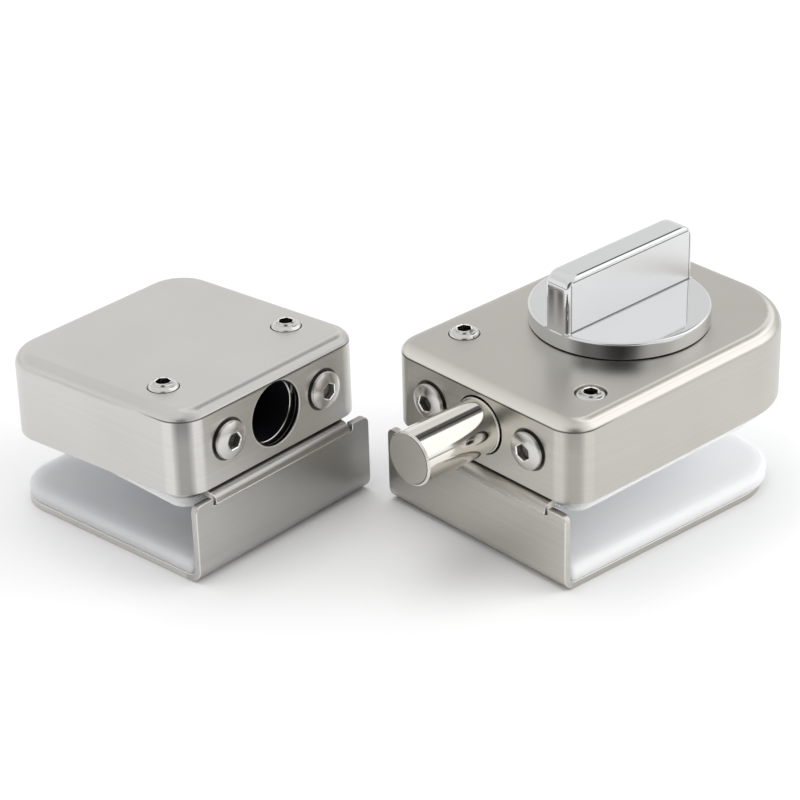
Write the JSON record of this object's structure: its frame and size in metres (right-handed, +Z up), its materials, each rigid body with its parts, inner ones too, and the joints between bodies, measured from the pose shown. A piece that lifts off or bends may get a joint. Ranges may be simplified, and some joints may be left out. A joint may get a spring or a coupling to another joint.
{
  "type": "glass door bolt lock",
  "caption": "Bolt unit with a thumbturn and sliding round bolt, and a separate strike unit, each clamping on a glass panel's edge.",
  "frame": {"origin": "on the surface that the two units stand on, straight below the thumbturn's axis, at the middle of the bolt unit's clamp leaf", "axes": "+Z up from the surface; -X is the way the bolt comes out of its case; +Y is to the right of the bolt, on the strike unit's side, as seen along the bolt from behind"},
  "size_m": [0.1232, 0.1057, 0.0513],
  "materials": {
    "satin_steel": "fine brushed stainless steel",
    "bright_steel": "bright turned steel",
    "polished_knob": "smooth plated metal",
    "zinc": "plain zinc-coated metal",
    "brass": "plain turned brass",
    "black_plastic": "moulded black plastic",
    "clear_pad": "clear soft plastic pad"
  },
  "bodies": {
    "bolt_unit": {"bolt_case": "satin_steel", "guide_block": "zinc", "bolt_clamp_plate": "satin_steel", "bolt_lower_pad": "clear_pad", "bolt_face_screws": "bright_steel", "mechanism_cover": "zinc", "cover_screws": "bright_steel", "spindle_bush": "brass"},
    "thumbturn": {"knob": "polished_knob", "spindle": "zinc", "spring_washer": "bright_steel", "crank_plate": "zinc", "drive_pin": "bright_steel", "retaining_clip": "bright_steel"},
    "bolt": {"bolt_rod": "bright_steel", "slide_block": "zinc", "cross_pin": "bright_steel"},
    "bolt_clamp": {"bolt_pressure_plate": "satin_steel", "bolt_upper_pad": "clear_pad", "bolt_set_screws": "bright_steel"},
    "strike_unit": {"strike_case": "satin_steel", "strike_block": "black_plastic", "strike_clamp_plate": "satin_steel", "strike_lower_pad": "clear_pad", "strike_face_screws": "bright_steel", "strike_face_inserts": "brass", "strike_set_inserts": "brass"},
    "strike_clamp": {"strike_pressure_plate": "satin_steel", "strike_upper_pad": "clear_pad", "strike_set_screws": "bright_steel"}
  },
  "joints": [
    {"name": "knob_turn", "type": "hinge", "parent": "bolt_unit", "child": "thumbturn", "pos_m": [-0.00102, 0, 0.03613], "axis": [-0.0314, 0, 0.9995], "range_deg": [0, 90]},
    {"name": "bolt_slide", "type": "slide", "parent": "bolt_unit", "child": "bolt", "axis": [0.9995, 0, 0.0314], "range_m": [0, 0.016]},
    {"name": "bolt_clamp_slide", "type": "slide", "parent": "bolt_unit", "child": "bolt_clamp", "axis": [0.0314, 0, -0.9995], "range_m": [0, 0.002]},
    {"name": "strike_lift", "type": "slide", "parent": "bolt_unit", "child": "strike_unit", "axis": [0, 0, 1], "range_m": [0, 0.05]},
    {"name": "strike_clamp_slide", "type": "slide", "parent": "strike_unit", "child": "strike_clamp", "axis": [0.0045, -0.0381, -0.9993], "range_m": [0, 0.002]}
  ],
  "couplings": [
    {"joint": "knob_turn", "follows": "bolt_slide", "rad_per_m": 98.175}
  ]
}
